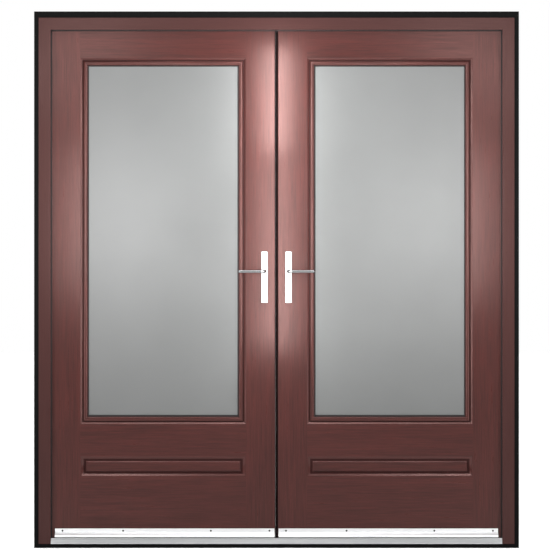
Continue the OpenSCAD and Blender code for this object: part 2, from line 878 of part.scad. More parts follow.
// Rooms that the master leaf's bolts and hooks reach into when they are thrown
module keep_rooms(xa) {
    gap = seat_gap + 0.7;
    slab([xa, latch_z - latch_h / 2 - gap, latch_throw - x0 + 1, latch_z + latch_h / 2 + gap],
        mid_y - latch_t / 2 - gap, mid_y + latch_t / 2 + gap);
    slab([xa, key_z - dead_h / 2 - gap, dead_throw - x0 + 1, key_z + dead_h / 2 + gap],
        mid_y - dead_t / 2 - gap, mid_y + dead_t / 2 + gap);
    for (z = hook_zs)
        slab([xa, z - hook_sweep, hook_reach - hook_x + 1.5, z + hook_nose + 3],
            mid_y - hook_t / 2 - gap, mid_y + hook_t / 2 + gap);
}

module slave_meeting_profile() {
    front = leaf_y + 2;
    back = leaf_back - 2;
    chamber = [3.5, 4.5];
    color(black) difference() {
        slab([profile_x, z0, x0, z1], front, back);
        for (y = [front + 3, back - 3 - chamber[1]])
            slab([profile_x + 3, z0 - 1, profile_x + 3 + chamber[0], z1 + 1], y, y + chamber[1]);
        for (span = keep_spans)
            slab([profile_x - 1, span[0], profile_x + keep_t, span[1]],
                mid_y - strip_w / 2, mid_y + strip_w / 2);
        keep_rooms(profile_x);
    }
}

module slave_keeps() {
    color(metal) difference() {
        for (span = keep_spans)
            slab([profile_x, span[0], profile_x + keep_t, span[1]],
                mid_y - strip_w / 2, mid_y + strip_w / 2);
        left() bolt_windows(-profile_x - keep_t - 1, -profile_x + 1, 0);
    }
}

module shootbolt(low, high) {
    color(steel) shoot_hole(shoot_r, low, high);
}

module slave_top_shootbolt() {
    shootbolt(spin_z + 26, z1 - tip_gap);
}

module slave_bottom_shootbolt() {
    shootbolt(z0 + tip_gap, key_z - 34);
}

// ---- nodes ----

module master_outer_skin() { left() outer_skin(-1); }
module master_inner_skin() { left() inner_skin(); }
module master_timber_frame() { left() timber_frame(-1); }
module master_foam_core() { left() foam_core(); }
module master_glass_panes() { left() glass_panes(); }
module master_glass_spacer() { left() glass_spacer(); }
module master_glazing_seal() { left() glazing_seal(); }
module master_glazing_bead() { left() glazing_bead(); }
module master_weather_bar() { left() weather_bar(-1); }
module master_bar_screws() { left() bar_screws(-1); }
module master_outer_plate() { left() outer_plate(); }
module master_inner_plate() { left() inner_plate(); }
module master_cylinder() { left() lock_cylinder(); }
module master_lock_case() { left() { case_box(); hook_boxes(); } }
module master_leaf_flags() { left() leaf_flags(); }
module master_outer_lever() { left() outer_lever(); }
module master_inner_lever() { left() inner_lever(); }
module master_spindle() { left() spindle(); }
module master_follower() { left() follower(-1); }
module master_thumbturn() { left() thumbturn(); }

module slave_outer_skin() { outer_skin(1); }
module slave_inner_skin() { inner_skin(); }
module slave_timber_frame() { timber_frame(1); }
module slave_foam_core() { foam_core(); }
module slave_glass_panes() { glass_panes(); }
module slave_glass_spacer() { glass_spacer(); }
module slave_glazing_seal() { glazing_seal(); }
module slave_glazing_bead() { glazing_bead(); }
module slave_weather_bar() { weather_bar(1); }
module slave_bar_screws() { bar_screws(1); }
module slave_outer_plate() { outer_plate(); }
module slave_inner_plate() { inner_plate(); }
module slave_cylinder() { lock_cylinder(); }
module slave_lock_case() { case_box(); }
module slave_leaf_flags() { leaf_flags(); }
module slave_outer_lever() { outer_lever(); }
module slave_inner_lever() { inner_lever(); }
module slave_spindle() { spindle(); }
module slave_follower() { follower(1); }

frame_head();
frame_jamb_left();
frame_jamb_right();
frame_steels();
frame_seal();
packing_band();
threshold();
shootbolt_keeps();
hinge_frame_flags();
hinge_pins();
master_outer_skin();
master_inner_skin();
master_timber_frame();
master_foam_core();
master_glass_panes();
master_glass_spacer();
master_glazing_seal();
master_glazing_bead();
master_weather_bar();
master_bar_screws();
master_outer_plate();
master_inner_plate();
master_cylinder();
master_lock_strip();
master_lock_case();
master_leaf_flags();
master_outer_lever();
master_inner_lever();
master_spindle();
master_follower();
master_thumbturn();
master_latch_cam();
master_latch_bolt();
master_deadbolt();
master_drive_bar();
master_upper_hook();
master_lower_hook();
slave_outer_skin();
slave_inner_skin();
slave_timber_frame();
slave_foam_core();
slave_glass_panes();
slave_glass_spacer();
slave_glazing_seal();
slave_glazing_bead();
slave_weather_bar();
slave_bar_screws();
slave_outer_plate();
slave_inner_plate();
slave_cylinder();
slave_lock_case();
slave_leaf_flags();
slave_outer_lever();
slave_inner_lever();
slave_spindle();
slave_follower();
slave_top_shootbolt();
slave_bottom_shootbolt();
slave_meeting_profile();
slave_keeps();
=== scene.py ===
import json
import math

import bmesh
import bpy
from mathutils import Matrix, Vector

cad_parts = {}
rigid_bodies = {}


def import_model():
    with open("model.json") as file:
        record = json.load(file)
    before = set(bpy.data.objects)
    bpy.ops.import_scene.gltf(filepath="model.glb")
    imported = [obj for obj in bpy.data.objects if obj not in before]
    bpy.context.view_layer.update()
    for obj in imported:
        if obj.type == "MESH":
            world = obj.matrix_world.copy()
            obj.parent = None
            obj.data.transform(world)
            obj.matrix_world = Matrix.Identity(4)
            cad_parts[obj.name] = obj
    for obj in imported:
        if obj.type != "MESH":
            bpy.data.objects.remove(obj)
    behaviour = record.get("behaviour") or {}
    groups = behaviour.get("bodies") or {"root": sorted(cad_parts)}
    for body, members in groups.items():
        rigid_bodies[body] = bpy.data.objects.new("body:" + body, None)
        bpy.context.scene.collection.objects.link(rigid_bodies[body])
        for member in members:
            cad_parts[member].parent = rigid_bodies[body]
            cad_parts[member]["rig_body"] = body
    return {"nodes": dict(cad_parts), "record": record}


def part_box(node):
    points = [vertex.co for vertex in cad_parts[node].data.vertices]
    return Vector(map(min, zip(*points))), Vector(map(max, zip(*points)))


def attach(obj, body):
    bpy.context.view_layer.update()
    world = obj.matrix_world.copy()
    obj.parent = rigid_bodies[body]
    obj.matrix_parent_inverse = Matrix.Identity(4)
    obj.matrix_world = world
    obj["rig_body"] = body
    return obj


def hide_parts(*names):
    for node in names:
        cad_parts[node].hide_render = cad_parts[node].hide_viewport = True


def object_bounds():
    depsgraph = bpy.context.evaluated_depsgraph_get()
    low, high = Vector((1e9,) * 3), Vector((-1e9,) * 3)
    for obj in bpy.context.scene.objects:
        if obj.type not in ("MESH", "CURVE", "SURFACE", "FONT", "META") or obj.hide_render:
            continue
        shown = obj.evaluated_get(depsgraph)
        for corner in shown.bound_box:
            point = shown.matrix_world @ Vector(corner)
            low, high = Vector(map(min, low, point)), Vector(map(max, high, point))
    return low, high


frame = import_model()
nodes = frame["nodes"]
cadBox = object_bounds()
slotOf = {part["node"]: part["material_slot"] for part in frame["record"]["subparts"]}
print("frame loaded:", len(nodes), "nodes")

facing = 0.9  # cosine of the widest lean at which a face still counts as facing one way
touching = 1e-5  # metres


def deselectAll():
    if bpy.context.mode != "OBJECT":
        bpy.ops.object.mode_set(mode="OBJECT")
    bpy.ops.object.select_all(action="DESELECT")


def makeActive(piece):
    deselectAll()
    piece.select_set(True)
    bpy.context.view_layer.objects.active = piece


def editFaces(piece, test):
    # goes into edit mode with only the faces that pass the test selected
    if bpy.context.mode != "EDIT_MESH":
        makeActive(piece)
        bpy.ops.object.mode_set(mode="EDIT")
    bpy.ops.mesh.select_mode(type="FACE")
    bpy.ops.mesh.select_all(action="DESELECT")
    mesh = bmesh.from_edit_mesh(piece.data)
    for face in mesh.faces:
        if test(face.calc_center_median(), face.normal):
            face.select_set(True)
    bmesh.update_edit_mesh(piece.data)


def editEdges(piece, test):
    if bpy.context.mode != "EDIT_MESH":
        makeActive(piece)
        bpy.ops.object.mode_set(mode="EDIT")
    bpy.ops.mesh.select_mode(type="EDGE")
    bpy.ops.mesh.select_all(action="DESELECT")
    mesh = bmesh.from_edit_mesh(piece.data)
    for edge in mesh.edges:
        if test(edge):
            edge.select_set(True)
    bmesh.update_edit_mesh(piece.data)


def editAll(piece):
    makeActive(piece)
    bpy.ops.object.mode_set(mode="EDIT")
    bpy.ops.mesh.select_all(action="SELECT")


def bisectAt(piece, point, normal, test=lambda centre, normal: True):
    # a cut right across the faces that pass the test
    editFaces(piece, test)
    bpy.ops.mesh.bisect(plane_co=point, plane_no=normal, clear_inner=False, clear_outer=False)
    bpy.ops.object.mode_set(mode="OBJECT")


def extrudeBy(x, y, z):
    bpy.ops.mesh.extrude_region_move(TRANSFORM_OT_translate={"value": (x, y, z)})


def placeInMesh(piece):
    makeActive(piece)
    bpy.ops.object.transform_apply(location=True, rotation=True, scale=True)


def smoothByAngle(piece, degrees):
    makeActive(piece)
    bpy.ops.object.shade_smooth_by_angle(angle=math.radians(degrees))


def keepFlats(piece):
    # large faces keep their own normal, so that only the small steps between them shade softly
    makeActive(piece)
    weighted = piece.modifiers.new("flats", "WEIGHTED_NORMAL")
    weighted.keep_sharp = True
    weighted.weight = 100
    bpy.ops.object.modifier_apply(modifier="flats")


def settle(piece, body, standsFor, slotName=None):
    # gives a finished piece to its body, in place of its CAD nodes
    deselectAll()
    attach(piece, body)
    if standsFor:
        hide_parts(*standsFor)
        slotName = slotName or slotOf[standsFor[0]]
    return piece


def boxPiece(name, low, high):
    deselectAll()
    low, high = Vector(low), Vector(high)
    bpy.ops.mesh.primitive_cube_add(size=1, location=(low + high) / 2, scale=high - low)
    piece = bpy.context.active_object
    piece.name = name
    placeInMesh(piece)
    return piece


def mirrored(piece, name):
    # a copy for the other leaf, with its own mesh
    copy = piece.copy()
    copy.data = piece.data.copy()
    copy.name = name
    bpy.context.scene.collection.objects.link(copy)
    copy.parent = None
    for key in list(copy.keys()):
        if key.startswith("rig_"):
            del copy[key]
    copy.scale = (-1, 1, 1)
    placeInMesh(copy)
    editAll(copy)
    bpy.ops.mesh.normals_make_consistent(inside=False)
    bpy.ops.object.mode_set(mode="OBJECT")
    return copy


wood = {
    "skin": (0.057, 0.0128, 0.0108),
    "skinDark": (0.011, 0.0030, 0.0028),
    # painted shade: a darker colour for the bottoms of the mouldings
    "groove": (0.022, 0.0055, 0.0050),
    "foil": (0.040, 0.0160, 0.0145),
    "foilDark": (0.028, 0.0100, 0.0095),
    "sheenTint": (1.0, 0.66, 0.62),
    "timber": (0.150, 0.066, 0.045),
    "timberDark": (0.085, 0.034, 0.024),
    "roughness": (0.27, 0.36),
    "grainAcross": 270.0,  # streaks per metre
    "grainAlong": 9.0,
    "bandsAcross": 22.0,
    "bandsAlong": 2.0,
    "bandShare": 0.25,
    "relief": 0.5,
    "reliefDepth": 0.0006,
}
satin = {
    "dark": (0.092, 0.094, 0.093),
    "light": (0.104, 0.106, 0.105),
    "roughness": (0.42, 0.52),
    "cloudScale": 3.0,
    "toothScale": 900.0,
    "relief": 0.03,
}
# the part of a pattern's value that roughness and colour are drawn from
pattern = {"spread": (0.3, 0.7), "blend": (0.28, 0.72)}


def startFinish(name, metallic=0.0, specular=0.5, coat=0.0):
    material = bpy.data.materials.new(name)
    material.use_nodes = True
    shader = material.node_tree.nodes["Principled BSDF"]
    shader.inputs["Metallic"].default_value = metallic
    shader.inputs["Specular IOR Level"].default_value = specular
    shader.inputs["Coat Weight"].default_value = coat
    return material, shader


def addNode(material, kind, **inputs):
    node = material.node_tree.nodes.new(kind)
    for name, value in inputs.items():
        node.inputs[name.replace("_", " ")].default_value = value
    return node


def wire(material, source, target):
    material.node_tree.links.new(source, target)


def stretched(material, scale):
    # object coordinates, stretched so that a pattern runs along one way
    place = addNode(material, "ShaderNodeTexCoord")
    stretch = addNode(material, "ShaderNodeMapping", Scale=scale)
    wire(material, place.outputs["Object"], stretch.inputs["Vector"])
    return stretch.outputs["Vector"]


def mapRange(tree, source, fromRange, toRange):
    ramp = tree.nodes.new("ShaderNodeMapRange")
    ramp.inputs["From Min"].default_value, ramp.inputs["From Max"].default_value = fromRange
    ramp.inputs["To Min"].default_value, ramp.inputs["To Max"].default_value = toRange
    tree.links.new(source, ramp.inputs["Value"])
    return ramp.outputs["Result"]


def spread(material, source, low, high):
    # a pattern's value turned into a range
    return mapRange(material.node_tree, source, pattern["spread"], (low, high))


def colourBetween(material, source, dark, light):
    ramp = material.node_tree.nodes.new("ShaderNodeValToRGB")
    for element, place, colour in zip(ramp.color_ramp.elements, pattern["blend"], (dark, light)):
        element.position = place
        element.color = (*colour, 1)
    wire(material, source, ramp.inputs["Fac"])
    return ramp.outputs["Color"]


def addRelief(material, shader, source, strength, distance):
    bump = addNode(material, "ShaderNodeBump", Strength=strength, Distance=distance)
    wire(material, source, bump.inputs["Height"])
    wire(material, bump.outputs["Normal"], shader.inputs["Normal"])


def grainFinish(name, light, dark, alongX, relief=1.0, specular=0.5):
    material, shader = startFinish(name, specular=specular)
    shader.inputs["Specular Tint"].default_value = (*wood["sheenTint"], 1)
    across, along = wood["grainAcross"], wood["grainAlong"]
    fine = (along, across, across) if alongX else (across, across, along)
    across, along = wood["bandsAcross"], wood["bandsAlong"]
    broad = (along, across, across) if alongX else (across, across, along)
    streaks = addNode(material, "ShaderNodeTexNoise", Scale=1.0, Detail=4.0, Roughness=0.65)
    wire(material, stretched(material, fine), streaks.inputs["Vector"])
    bands = addNode(material, "ShaderNodeTexNoise", Scale=1.0, Detail=3.0, Roughness=0.5, Distortion=0.4)
    wire(material, stretched(material, broad), bands.inputs["Vector"])
    both = addNode(material, "ShaderNodeMix")
    both.inputs[0].default_value = wood["bandShare"]
    wire(material, streaks.outputs["Fac"], both.inputs[2])
    wire(material, bands.outputs["Fac"], both.inputs[3])
    wire(material, colourBetween(material, both.outputs[0], dark, light), shader.inputs["Base Color"])
    low, high = wood["roughness"]
    wire(material, spread(material, streaks.outputs["Fac"], high, low), shader.inputs["Roughness"])
    addRelief(material, shader, streaks.outputs["Fac"], wood["relief"] * relief, wood["reliefDepth"])
    return material


def speckledFinish(name, light, dark, roughness, scale, relief=0.1, metallic=0.0,
                   specular=0.5, coat=0.0, spangle=False):
    # an even surface with fine variation: rubber, foam, castings, zinc coating, powder coat
    material, shader = startFinish(name, metallic, specular, coat)
    kind = "ShaderNodeTexVoronoi" if spangle else "ShaderNodeTexNoise"
    specks = addNode(material, kind, Scale=scale)
    wire(material, stretched(material, (1, 1, 1)), specks.inputs["Vector"])
    value = specks.outputs["Distance" if spangle else "Fac"]
    wire(material, colourBetween(material, value, dark, light), shader.inputs["Base Color"])
    wire(material, spread(material, value, *roughness), shader.inputs["Roughness"])
    addRelief(material, shader, value, relief, 0.0003)
    return material


def drawnMetal(name, light, dark, roughness, scale, relief=0.04, metallic=1.0):
    # metal with fine lines along its length, from rolling, drawing or brushing
    material, shader = startFinish(name, metallic)
    lines = addNode(material, "ShaderNodeTexNoise", Scale=1.0, Detail=3.0)
    wire(material, stretched(material, scale), lines.inputs["Vector"])
    wire(material, colourBetween(material, lines.outputs["Fac"], dark, light), shader.inputs["Base Color"])
    wire(material, spread(material, lines.outputs["Fac"], *roughness), shader.inputs["Roughness"])
    addRelief(material, shader, lines.outputs["Fac"], relief, 0.0002)
    return material


def satinGlass(name):
    # etched glass: light spreads in it, so nothing shows through
    material, shader = startFinish(name, specular=0.6)
    cloud = addNode(material, "ShaderNodeTexNoise", Scale=satin["cloudScale"], Detail=2.0)
    wire(material, stretched(material, (1, 1, 1)), cloud.inputs["Vector"])
    tooth = addNode(material, "ShaderNodeTexNoise", Scale=satin["toothScale"], Detail=2.0)
    wire(material, stretched(material, (1, 1, 1)), tooth.inputs["Vector"])
    colour = colourBetween(material, cloud.outputs["Fac"], satin["dark"], satin["light"])
    wire(material, colour, shader.inputs["Base Color"])
    wire(material, spread(material, tooth.outputs["Fac"], *satin["roughness"]), shader.inputs["Roughness"])
    addRelief(material, shader, tooth.outputs["Fac"], satin["relief"], 0.0002)
    return material


uprightSkin = grainFinish("rosewoodUpright", wood["skin"], wood["skinDark"], False)
levelSkin = grainFinish("rosewoodLevel", wood["skin"], wood["skinDark"], True)
# painted shade: a darker, less glossy skin for the bottoms of the mouldings
grooveSkin = grainFinish("rosewoodPaintedGrooveShade", wood["groove"], wood["skinDark"], False, 0.5, 0.2)
uprightFoil = grainFinish("frameFoilUpright", wood["foil"], wood["foilDark"], False, 0.6, 0.3)
levelFoil = grainFinish("frameFoilLevel", wood["foil"], wood["foilDark"], True, 0.6, 0.3)
beadFinish = grainFinish("rosewoodBead", wood["skin"], wood["skinDark"], False, 0.7)
stainedTimber = grainFinish("stainedTimber", wood["timber"], wood["timberDark"], False, 1.6, 0.3)
finishes = {
    "rosewood_skin": uprightSkin,
    "rosewood_frame": uprightFoil,
    "rosewood_bead": beadFinish,
    "timber": stainedTimber,
    "rosewood_hinge": speckledFinish(
        "hingeCoat", (0.135, 0.058, 0.054), (0.115, 0.048, 0.045), (0.38, 0.5), 1400.0, 0.12, coat=0.2),
    "black_rubber": speckledFinish(
        "blackRubber", (0.016, 0.012, 0.012), (0.008, 0.006, 0.006), (0.6, 0.8), 900.0, 0.15, specular=0.3),
    "packing_band": speckledFinish(
        "packingBand", (0.006, 0.006, 0.006), (0.002, 0.002, 0.002), (0.85, 0.95), 600.0, 0.5, specular=0.05),
    "black_profile": speckledFinish(
        "blackProfile", (0.005, 0.002, 0.002), (0.003, 0.001, 0.001), (0.75, 0.9), 700.0, 0.08,
        specular=0.04),
    "threshold_aluminium": drawnMetal(
        "thresholdMetal", (0.90, 0.91, 0.92), (0.85, 0.86, 0.87), (0.3, 0.38), (3, 1200, 1200), 0.02),
    "bar_aluminium": drawnMetal(
        "barMetal", (0.93, 0.94, 0.95), (0.88, 0.89, 0.90), (0.3, 0.38), (3, 1200, 1200), 0.02),
    "spacer_aluminium": drawnMetal(
        "spacerMetal", (0.50, 0.50, 0.51), (0.40, 0.40, 0.41), (0.4, 0.55), (700, 700, 700)),
    "galvanised_steel": speckledFinish(
        "galvanised", (0.58, 0.59, 0.60), (0.42, 0.43, 0.44), (0.35, 0.55), 110.0, 0.05, 1.0, spangle=True),
    "bright_steel": drawnMetal(
        "brightSteel", (0.62, 0.62, 0.63), (0.50, 0.50, 0.51), (0.2, 0.34), (900, 900, 900)),
    # stainless steel painted darker and redder than the bare metal is: painted shade of the meeting gap where
    # the strip shows
    "stainless_strip": drawnMetal(
        "stainless", (0.30, 0.28, 0.28), (0.24, 0.22, 0.22), (0.28, 0.4), (1200, 1200, 8)),
    "zinc": speckledFinish("castZinc", (0.56, 0.57, 0.58), (0.46, 0.47, 0.48), (0.4, 0.55), 500.0, 0.2, 1.0),
    "nickel": drawnMetal(
        "satinNickel", (0.66, 0.65, 0.61), (0.58, 0.57, 0.54), (0.26, 0.36), (900, 900, 900)),
    "chrome_plate": speckledFinish(
        "plateChrome", (0.90, 0.91, 0.92), (0.86, 0.87, 0.88), (0.30, 0.36), 700.0, 0.01, 1.0),
    "chrome_lever": speckledFinish(
        "leverChrome", (0.30, 0.305, 0.31), (0.26, 0.265, 0.27), (0.03, 0.05), 700.0, 0.01, 1.0),
    "black_screw": speckledFinish(
        "blackScrew", (0.010, 0.010, 0.010), (0.004, 0.004, 0.004), (0.3, 0.45), 1500.0, 0.05, 0.4),
    "foam": speckledFinish(
        "rigidFoam", (0.72, 0.62, 0.40), (0.60, 0.50, 0.30), (0.8, 0.9), 1200.0, 0.4, specular=0.2),
    "glass": satinGlass("satinGlass"),
}

for nodeName, node in nodes.items():
    node.data.materials.clear()
    node.data.materials.append(finishes[slotOf[nodeName]])
print("finishes made:", len(finishes))


softening = {  # radius in metres, by node
    "frame_head": 0.0012, "frame_jamb_left": 0.0012, "frame_jamb_right": 0.0012,
    "threshold": 0.0007, "hinge_frame_flags": 0.0008, "hinge_pins": 0.0005,
    "master_leaf_flags": 0.0008, "slave_leaf_flags": 0.0008,
    "master_glazing_bead": 0.0010, "slave_glazing_bead": 0.0010,
    "master_inner_skin": 0.0012, "slave_inner_skin": 0.0012,
    "master_weather_bar": 0.0005, "slave_weather_bar": 0.0005,
    "master_outer_plate": 0.0014, "slave_outer_plate": 0.0014,
    "master_inner_plate": 0.0014, "slave_inner_plate": 0.0014,
    "master_cylinder": 0.0004, "slave_cylinder": 0.0004,
    "master_thumbturn": 0.0008, "slave_meeting_profile": 0.0008,
}


arris = {"merge": 0.00002, "flatTo": 1.0, "steps": 2, "fromAngle": 50, "smoothTo": 32}


def softenedCopy(nodeName, radius):
    source = nodes[nodeName]
    piece = bpy.data.objects.new(nodeName + "_softened", source.data.copy())
    bpy.context.scene.collection.objects.link(piece)
    editAll(piece)
    bpy.ops.mesh.remove_doubles(threshold=arris["merge"])
    bpy.ops.mesh.dissolve_limited(angle_limit=math.radians(arris["flatTo"]))
    bpy.ops.object.mode_set(mode="OBJECT")
    bevel = piece.modifiers.new("arris", "BEVEL")
    bevel.width = radius
    bevel.segments = arris["steps"]
    bevel.limit_method = "ANGLE"
    bevel.angle_limit = math.radians(arris["fromAngle"])
    bevel.use_clamp_overlap = True
    bpy.ops.object.modifier_apply(modifier="arris")
    smoothByAngle(piece, arris["smoothTo"])
    keepFlats(piece)
    return settle(piece, source["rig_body"], [nodeName])


soft = {name: softenedCopy(name, radius) for name, radius in softening.items()}
soft["frame_head"].data.materials.clear()
soft["frame_head"].data.materials.append(levelFoil)
print("softened copies made:", len(soft))


skin = {
    # rectangles on the right-hand leaf: x low, z low, x high, z high
    "surround": (0.121, 0.490, 0.781, 1.948),
    "panel": (0.124, 0.283, 0.778, 0.363),
    "arris": 0.0022,
    "arrisSteps": 3,
    "smoothTo": 40,
    "slack": 0.0004,  # how far outside a rectangle a face's middle still counts
    "middleReach": 0.002,  # how near the middle of the glass the faces to open are
    "sideLean": 0.15,  # faces that lean further sideways belong to an upright moulding
    # how far the skin is thickened behind each moulding
    "surroundBacking": 0.0092,
    "panelBacking": 0.0050,
    # each step of a moulding: how far in, how deep below the face
    "surroundSteps": [
        (0.0009, 0.0003), (0.0025, 0.0014), (0.0080, 0.0058), (0.0094, 0.0068), (0.0110, 0.0072),
        (0.0124, 0.0068), (0.0134, 0.0046), (0.0150, 0.0026), (0.0174, 0.0013), (0.0200, 0.0008),
        (0.0226, 0.0012), (0.0252, 0.0026), (0.0274, 0.0048), (0.0290, 0.0074), (0.0300, 0.0098),
    ],
    # how far in a moulding the skin is painted darker and less glossy, as painted shade at the bottom of the
    # groove
    "surroundPaintedShade": (0.0080, 0.0134),
    "panelPaintedShade": (0.0100, 0.0190),
    "panelSteps": [
        (0.0010, 0.0003), (0.0030, 0.0010), (0.0100, 0.0046), (0.0125, 0.0050), (0.0190, 0.0049),
        (0.0215, 0.0022), (0.0228, 0.0012), (0.0240, 0.0010),
    ],
}


def depthInside(cell, centre):
    return min(centre.x - cell[0], cell[2] - centre.x, centre.z - cell[1], cell[3] - centre.z)


def cellTest(cell, way):
    # faces inside a rectangle that face forward (-1) or backward (1)
    return lambda middle, normal: depthInside(cell, middle) > -skin["slack"] and normal.y * way > facing


def stepIn(piece, cell, steps):
    # a moulding cut into the face of a rectangle, step by step
    editFaces(piece, cellTest(cell, -1))
    wide, deep = 0.0, 0.0
    for nextWide, nextDeep in steps:
        bpy.ops.mesh.inset(thickness=nextWide - wide, depth=deep - nextDeep)
        wide, deep = nextWide, nextDeep


def outerSkin(name, surround, panel):
    low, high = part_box("slave_outer_skin")
    face, back = low.y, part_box("slave_timber_frame")[0].y
    piece = boxPiece(name, (low.x, face, low.z), (high.x, back, high.z))
    editEdges(piece, lambda edge: all(abs(v.co.y - face) < touching for v in edge.verts))
    bpy.ops.mesh.bevel(offset=skin["arris"], segments=skin["arrisSteps"], affect="EDGES")
    for x in (surround[0], surround[2]):
        bisectAt(piece, (x, 0, 0), (1, 0, 0))
    for z in (surround[1], surround[3], panel[1], panel[3]):
        bisectAt(piece, (0, 0, z), (0, 0, 1))
    for x in (panel[0], panel[2]):
        bisectAt(piece, (x, 0, 0), (1, 0, 0), lambda centre, normal: panel[1] < centre.z < panel[3])
    inset = skin["surroundSteps"][-1][0]
    for cell, depth in ((surround, skin["surroundBacking"]), (panel, skin["panelBacking"])):
        editFaces(piece, cellTest(cell, 1))
        extrudeBy(0, depth, 0)
        if cell is surround:
            bpy.ops.mesh.inset(thickness=inset, depth=0)
    stepIn(piece, panel, skin["panelSteps"])
    stepIn(piece, surround, skin["surroundSteps"])
    # open the glass: the last front face and the face behind it go, and their rims are joined
    middle = Vector(((surround[0] + surround[2]) / 2, 0, (surround[1] + surround[3]) / 2))
    editFaces(piece, lambda centre, normal: abs(normal.y) > facing and (
        Vector((centre.x, 0, centre.z)) - middle).length < skin["middleReach"])
    bpy.ops.mesh.bridge_edge_loops()
    bpy.ops.object.mode_set(mode="OBJECT")
    return piece


def paintSkin(piece, surround, panel):
    # upright grain on the stiles, level grain on the rails, and each moulding along its own length
    for finish in (uprightSkin, levelSkin, grooveSkin):
        piece.data.materials.append(finish)
    for face in piece.data.polygons:
        centre, normal = face.center, face.normal
        between = surround[0] < centre.x < surround[2]
        level = between and abs(normal.x) < skin["sideLean"]
        if surround[1] < centre.z < surround[3] and between:
            fromSide = min(centre.x - surround[0], surround[2] - centre.x)
            fromEnd = min(centre.z - surround[1], surround[3] - centre.z)
            level = abs(normal.z) > abs(normal.x) or fromEnd < fromSide
        face.material_index = 1 if level else 0
        # faces at the bottom of each moulding get the painted shade finish
        for cell, groove in ((surround, skin["surroundPaintedShade"]), (panel, skin["panelPaintedShade"])):
            if normal.y < 0 and groove[0] < depthInside(cell, centre) < groove[1]:
                face.material_index = 2


slaveSkin = outerSkin("slave_moulded_skin", skin["surround"], skin["panel"])
paintSkin(slaveSkin, skin["surround"], skin["panel"])
smoothByAngle(slaveSkin, skin["smoothTo"])
keepFlats(slaveSkin)
masterSkin = mirrored(slaveSkin, "master_moulded_skin")
keepFlats(masterSkin)
settle(slaveSkin, "slave_leaf", ["slave_outer_skin"])
settle(masterSkin, "master_leaf", ["master_outer_skin"])
print("skins made:", len(slaveSkin.data.polygons), "faces each")


lever = {
    "spindleX": 0.048,  # on the right-hand leaf
    "sides": 24,
    "collar": 0.003,
    "shoulder": (0.0012, 0.90),  # how far it runs, and how much narrower it gets there
    "neck": (0.92, 0.96),
    "elbow": 0.003,  # how far the bend clears the neck
    "elbowSteps": 6,
    "grip": 0.0067,  # radius
    "clear": 0.0002,  # kept free in front of the grip
    "endClear": 0.0012,
    "taper": [(0.012, 0.94), (0.022, 0.95), (0.022, 1.0), (0.018, 1.05), (0.010, 1.03)],
    "tip": [(0.002, 0.86), (0.0008, 0.7)],
    "merge": 0.00001,
    "smoothTo": 40,
}


def makeLever(name, nodeName):
    # a lever on the right-hand leaf, from its plate out and along to its end
    low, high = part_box(nodeName)
    outside = low.y + high.y < 0
    away = -1 if outside else 1
    spinX, spinZ = lever["spindleX"], (low.z + high.z) / 2
    start = high.y if outside else low.y
    neck = (high.z - low.z) / 2
    grip, clear = lever["grip"], lever["clear"]
    gripY = (low.y + grip + clear) if outside else (high.y - grip - clear)
    bend = neck + lever["elbow"]
    deselectAll()
    bpy.ops.mesh.primitive_circle_add(vertices=lever["sides"], radius=neck, fill_type="NGON",
                                      location=(spinX, start, spinZ), rotation=(math.pi / 2, 0, 0))
    piece = bpy.context.active_object
    piece.name = name
    placeInMesh(piece)
    editAll(piece)
    centre = Vector((spinX, start, spinZ))

    def push(dx, dy, scale):
        extrudeBy(dx, dy, 0)
        centre.x += dx
        centre.y += dy
        if scale != 1:
            bpy.ops.transform.resize(value=(scale, scale, scale), center_override=tuple(centre))

    shoulder, narrowing = lever["shoulder"]
    size = neck * narrowing
    push(0, away * lever["collar"], 1)
    push(0, away * shoulder, narrowing)
    straight = abs(gripY - away * bend - centre.y)
    for scale in lever["neck"]:
        push(0, away * straight * 0.5, scale)
        size *= scale
    angle = math.pi / 2
    bpy.ops.mesh.spin(steps=lever["elbowSteps"], angle=angle * away, use_normal_flip=False,
                      center=(spinX + bend, centre.y, spinZ), axis=(0, 0, 1))
    centre.x, centre.y = spinX + bend, gripY
    along = high.x - lever["endClear"] - centre.x - lever["tip"][0][0]
    total = sum(step for step, _ in lever["taper"])
    size = grip / size
    bpy.ops.transform.resize(value=(size, size, size), center_override=tuple(centre))
    for step, scale in lever["taper"]:
        push(step / total * along, 0, scale)
    for step, scale in lever["tip"]:
        push(step, 0, scale)
    bpy.ops.mesh.select_all(action="SELECT")
    bpy.ops.mesh.remove_doubles(threshold=lever["merge"])
    bpy.ops.mesh.normals_make_consistent(inside=False)
    bpy.ops.object.mode_set(mode="OBJECT")
    rounding = piece.modifiers.new("rounding", "SUBSURF")
    rounding.levels = rounding.render_levels = 2
    bpy.ops.object.modifier_apply(modifier="rounding")
    smoothByAngle(piece, lever["smoothTo"])
    piece.data.materials.append(finishes["chrome_lever"])
    return piece


for side in ("outer", "inner"):
    slaveLever = makeLever("slave_" + side + "_grip", "slave_" + side + "_lever")
    masterLever = mirrored(slaveLever, "master_" + side + "_grip")
    settle(slaveLever, "slave_levers", ["slave_" + side + "_lever"])
    settle(masterLever, "master_levers", ["master_" + side + "_lever"])
    print(side, "levers", *[[round(v * 1000, 1) for v in slaveLever.bound_box[corner]] for corner in (0, 6)])


flipper = {
    "foot": 0.0060,
    "tip": 0.0037,
    "depth": 0.0050,
    "behindFace": 0.0360,
    "tipThickness": 0.45,
    "rounding": 0.0006,
    "roundingSteps": 3,
    "smoothTo": 40,
}


